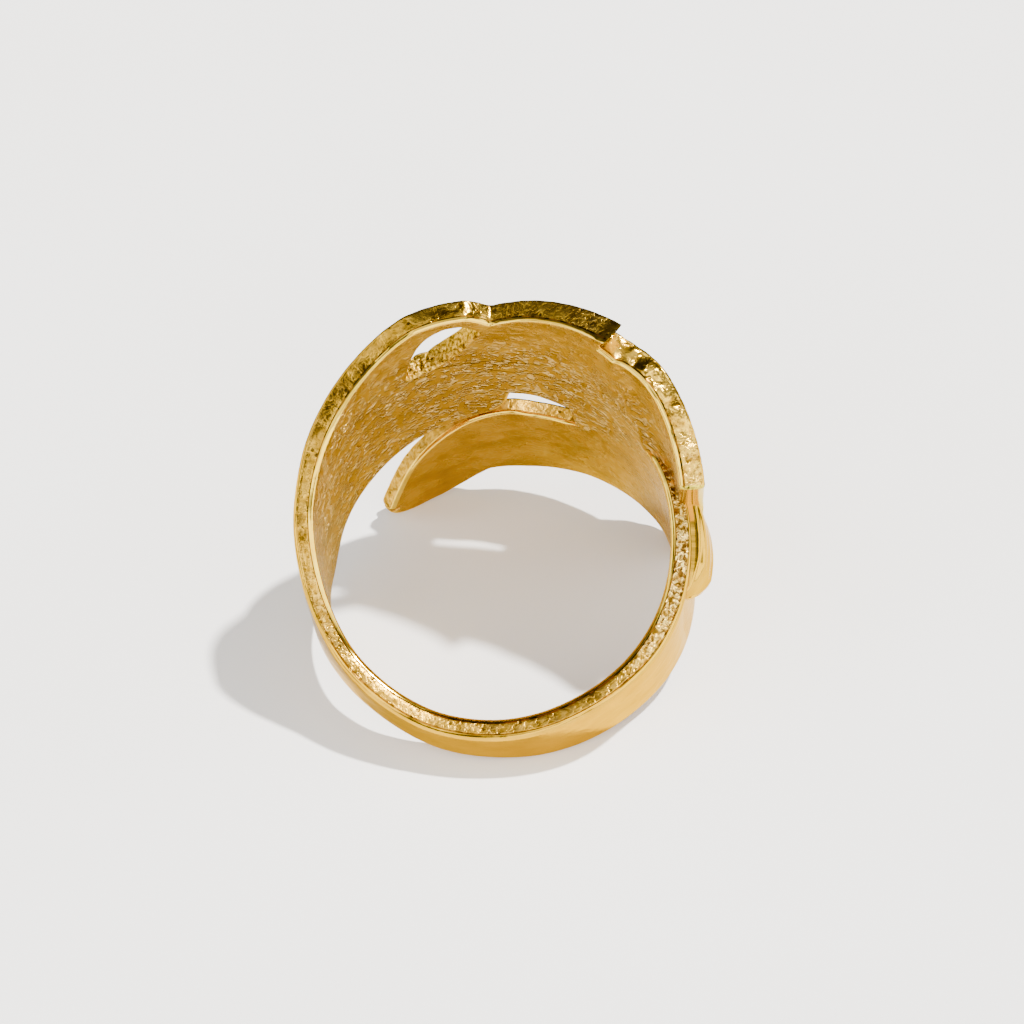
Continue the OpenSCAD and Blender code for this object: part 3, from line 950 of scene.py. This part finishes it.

# %% [markdown]
# ## The raw rims
#
# A file flattened the rims but didn't reach every hollow. The back's rims came out smooth, with a
# few pits and short strokes that run on from the barbs. The shank's are satin with low crumbs, and
# over the right side the skin is rough enough to glitter. One set of noises does all three: masks
# along the strip say how deep the crumbs are and how rough the metal between them is. Light and
# shade are also painted in: the colour rises with the crumbs' height, crumb tops get a painted
# highlight, the hollows between them and the pits get painted shade, and a painted glare lies on
# the notch and the third group.

# %% Rim finish
# How deep the crumbs are, how rough the metal is, where strokes show, where a painted glare lies,
# and how uneven the skin is. Columns: angle, share
DEEP = [(-406, 0.25), (-385, 0.15), (-320, 0.15), (-300, 0.9), (-262, 1.0), (-240, 0.6),
        (-222, 0.14), (-150, 0.12), (-118, 0.22), (-100, 0.10), (-20, 0.05), (10, 0.10),
        (20, 0.10), (33, 0.22), (40, 0.05), (70, 0.10), (82, 0.4)]
WORN = [(-406, 0.42), (-330, 0.42), (-300, 0.26), (-262, 0.18), (-222, 0.24), (-180, 0.30),
        (-150, 0.28), (-118, 0.12), (-95, 0.08), (0, 0.12), (10, 0.20), (33, 0.20), (40, 0.13),
        (60, 0.12), (82, 0.2)]
MARKED = [(-130, 0.0), (-95, 1.0), (6, 1.0), (14, 0.15), (30, 0.15), (37, 0.0)]
PAINTED_GLARE = [(-30, 0.0), (-14, 0.5), (-2, 0.5), (4, 0.0), (36, 0.0), (46, 0.6), (82, 0.6)]
UNEVEN = [(-406, 0.5), (-240, 0.5), (-130, 0.3), (-100, 1.0)]
SKIN, CRUMB, CELL = 0.7 * MM, 0.24 * MM, 0.75 * MM    # sizes of swellings, crumbs and pits' spacing


def rim_finish():
    finish, tree = metal("raw_cast_brass")
    around, barbs = (add(tree, "UVMap", uv_map=name) for name in ("around", "barbs"))
    deep, worn, marked, painted_glare_place, uneven = (along_strip(tree, around, stops)
                                           for stops in (DEEP, WORN, MARKED, PAINTED_GLARE, UNEVEN))
    spot = add(tree, "TexCoord").outputs["Object"]
    skin = add(tree, "TexNoise", spot, Scale=1 / SKIN, Detail=2.0, Roughness=0.5, Distortion=0.3)
    crumbs = add(tree, "TexNoise", spot, Scale=1 / CRUMB, Detail=2.0, Roughness=0.55, Distortion=0.6)
    cells = add(tree, "TexVoronoi", spot, Scale=1 / CELL)
    strokes = pattern(tree, barbs, (0.34, 2.5), detail=2.0, seed=8.0)
    pit, stroke, crumb, sheen = (
        add(tree, "MapRange", source, low, high, **SOFT) for source, low, high in
        ((cells, 0.08, 0.17), (strokes, 0.62, 0.70), (crumbs, 0.36, 0.64), (skin, 0.40, 0.60)))
    stroke, crumb, painted_glare = (add(tree, "Math", mark, place, operation="MULTIPLY") for mark, place in
                           ((stroke, marked), (crumb, deep), (sheen, painted_glare_place)))

    height = add(tree, "Math", crumb, 0.4, skin, operation="MULTIPLY_ADD")
    # Colour rises with the crumbs' height: painted highlight on their tops, painted shade below
    base = add(tree, "ValToRGB", height, stops=[(0.34, "7E5C0C"), (0.50, "A67C14"),
                                                (0.66, "C89A22"), (0.86, "DEB23A")])
    # Coats: painted shade between crumbs, painted highlight on crumbs, painted glare, painted shade in
    # pits
    gap = add(tree, "Math", deep, crumb, operation="SUBTRACT")
    hole = add(tree, "Math", pit, -0.8, 0.8, operation="MULTIPLY_ADD")
    base = coats(tree, base, [(crumb, "F8D474"), (gap, "6A4610"), (painted_glare, "F0C448"), (hole, "3A280A")])
    rough = add(tree, "Math", skin, 0.12, worn, operation="MULTIPLY_ADD", use_clamp=True)
    swell = add(tree, "Math", skin, uneven, operation="MULTIPLY")
    return dress(finish, base, rough, [(swell, 0.05), (crumb, 0.10), (stroke, 0.012), (pit, 0.02)])


raw_cast = rim_finish()

# %% [markdown]
# ## The polished metal
#
# The lip, the bevels and the plain shank were buffed. Buffed brass is a mirror with a little haze
# and hair scratches that mostly run round the ring, so noise is stretched along the strip. The lip
# gets a lighter base, a painted highlight of the white-gold line that the bright horizon draws on
# it. The blunt end faces get a lighter, yellower base, a painted highlight of the glare they catch,
# so all three share the function and differ in colour.

# %% Polish finishes
def polish_finish(name, low, high, edge):
    finish, tree = metal(name, edge)
    around = add(tree, "UVMap", uv_map="around")
    scratch = pattern(tree, around, (5.0, 0.05), detail=2.0, seed=2.0)
    haze = pattern(tree, around, (1.8, 0.9), detail=4.0, seed=5.0)
    wave = pattern(tree, around, (1.3, 0.7), detail=1.5, twist=0.8, seed=9.0)
    base = add(tree, "ValToRGB", haze, stops=[(0.3, low), (0.7, high)])
    rough = add(tree, "Math", haze, 0.16, 0.04, operation="MULTIPLY_ADD")
    return dress(finish, base, rough, [(scratch, 0.0015), (wave, 0.02)])


polished = polish_finish("polished_brass", "BA8C12", "CC9E20", "F8E4AC")
# The lip's lighter base is a painted highlight
burnished_painted_highlight = polish_finish("burnished_lip_painted_highlight", "D8AC2C", "E8C244", "FAE4A0")
# The end faces' lighter, yellower base is a painted highlight
bright = polish_finish("bright_end_face_painted_highlight", "B8A020", "D0B83C", "FAE8A0")

# %% [markdown]
# ## The chased vanes
#
# On the outside of the feathers fine lines run with the barbs. They are chased, so they are shallow
# and a little uneven, and the recesses hold some dark from the pickling bath. Towards the plain
# shank the lines fade out, so that no hard edge shows where the chaser stopped.

# %% Vane finish
def vane_finish():
    finish, tree = metal("chased_brass")
    around, barbs = (add(tree, "UVMap", uv_map=name) for name in ("around", "barbs"))
    lines = pattern(tree, barbs, (0.20, 3.5), detail=1.5, twist=0.15, seed=4.0, rough=0.4)
    skin = pattern(tree, around, (0.5, 0.4), detail=4.0, seed=6.0)
    plain = along_strip(tree, around, [(-300, 0.0), (PLAIN_FROM, 1.0), (PLAIN_TO, 1.0), (-70, 0.0)])
    base = add(tree, "ValToRGB", lines, stops=[(0.30, "72500E"), (0.45, "B68724"), (0.7, "CC9E36")])
    base = coats(tree, base, [(plain, "C39519")])
    rough = add(tree, "Math", skin, 0.22, 0.12, operation="MULTIPLY_ADD")
    share = add(tree, "Math", plain, -1.0, 1.0, operation="MULTIPLY_ADD")
    chased = add(tree, "Math", lines, share, operation="MULTIPLY")
    return dress(finish, base, rough, [(chased, 0.03), (skin, 0.008)])


chased_vane = vane_finish()

# %% [markdown]
# ## The sawn wall
#
# The saw and the burr leave the slot's wall rough, with crumbs of about 0.2 mm. Its colour is
# painted shade in the hollows and painted highlights on the crumbs.

# %% Sawn finish
def sawn_finish():
    finish, tree = metal("sawn_brass")
    spot = add(tree, "TexCoord").outputs["Object"]
    crumbs = add(tree, "TexNoise", spot, Scale=1 / (0.20 * MM), Detail=3.0, Roughness=0.6,
                 Distortion=0.5)
    # Dark hollows are painted shade, bright crumbs painted highlights
    base = add(tree, "ValToRGB", crumbs, stops=[(0.34, "3A2806"), (0.48, "A07A1A"), (0.64, "E8BC4C")])
    return dress(finish, base, 0.3, [(crumbs, 0.12)])


sawn = sawn_finish()

# %% [markdown]
# ## The groove's painted shade
#
# The groove beside the lip, and the foot of the bevel, are painted dark as shade. That thin dark
# line is what makes the lip look crisp. It is broken by flecks of lighter brown.

# %% Groove finish, and all finishes in order
def groove_finish():
    finish, tree = metal("groove_painted_shade")
    around = add(tree, "UVMap", uv_map="around")
    flecks = pattern(tree, around, (0.8, 0.2), detail=3.0, seed=12.0)
    # Painted shade, broken by lighter flecks
    base = add(tree, "ValToRGB", flecks, stops=[(0.42, "2A1B04"), (0.60, "8A5A12")])
    return dress(finish, base, 0.35)


groove_shade = groove_finish()
for made in (reamed, raw_cast, polished, chased_vane, sawn, burnished_painted_highlight, groove_shade, bright):
    casting.data.materials.append(made)
print("finishes", [made.name for made in casting.data.materials])

# %% [markdown]
# ## The floor
#
# The ring lies on a plain pale board, matt enough to spread the key. A faint cloudiness keeps it
# from looking like blank paper.

# %% Floor
def floor():
    bm = bmesh.new()
    bmesh.ops.create_grid(bm, x_segments=2, y_segments=2, size=1.5)
    piece = placed("floor", bm)
    finish = bpy.data.materials.new("pale_board")
    finish.use_nodes = True
    tree = finish.node_tree
    spot = add(tree, "TexCoord").outputs["Object"]
    cloud = add(tree, "TexNoise", spot, Scale=30.0, Detail=4.0)
    base = add(tree, "ValToRGB", cloud, stops=[(0.3, "FAF8F5"), (0.7, "FFFEFC")])
    piece.data.materials.append(dress(finish, base, 0.7))
    return piece


board = floor()

# %% [markdown]
# ## The light
#
# A key from the right and behind, and a dome that is bright in front and low down, and dim overhead
# towards the back. Metal shows nothing but what it reflects: the dim part of the dome deepens the
# level faces, and the bright horizon draws the lips as pale lines. Large soft patches break up the
# dome, as a room's windows and walls do.

# %% Key and dome
KEY_FROM = Vector((0.406, 0.164, 0.899))
DIM_SIDE = Vector((-0.08, 0.72, 0.69)).normalized()

sun = bpy.data.lights.new("key", "SUN")
sun.energy, sun.angle = 9.0, math.radians(3.0)
sun.color = (1.0, 0.97, 0.93)
key = bpy.data.objects.new("key", sun)
scene.collection.objects.link(key)
key.rotation_mode = "QUATERNION"
key.rotation_quaternion = KEY_FROM.to_track_quat("Z", "Y")

dome = bpy.data.worlds.new("dome")
scene.world = dome
dome.use_nodes = True
tree = dome.node_tree
way = add(tree, "TexCoord").outputs["Generated"]
ahead = add(tree, "VectorMath", way, DIM_SIDE, operation="DOT_PRODUCT")
sky = add(tree, "ValToRGB", ahead, stops=[(0.10, "FFFFFF"), (0.40, "D0D0D0"), (0.64, "7C7C7C"),
                                          (0.80, "3C3C3C"), (1.0, "242424")])
patches = add(tree, "TexNoise", way, Scale=1.9, Detail=1.0)
panels = add(tree, "ValToRGB", patches, stops=[(0.38, "343434"), (0.50, "B8B8B8"), (0.58, "FFFFFF")])
lit = add(tree, "Mix", data_type="RGBA", blend_type="MULTIPLY", Factor=1.0, A=sky, B=panels)
feed(tree, lit, tree.nodes["Background"].inputs["Color"])
tree.nodes["Background"].inputs["Strength"].default_value = 5.4
print("key", round(math.degrees(math.asin(KEY_FROM.normalized().z))), "degrees up, dome of",
      len(tree.nodes), "nodes")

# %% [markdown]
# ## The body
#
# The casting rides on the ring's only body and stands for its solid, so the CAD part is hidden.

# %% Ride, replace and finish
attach(casting, "root")
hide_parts("feather_ring")
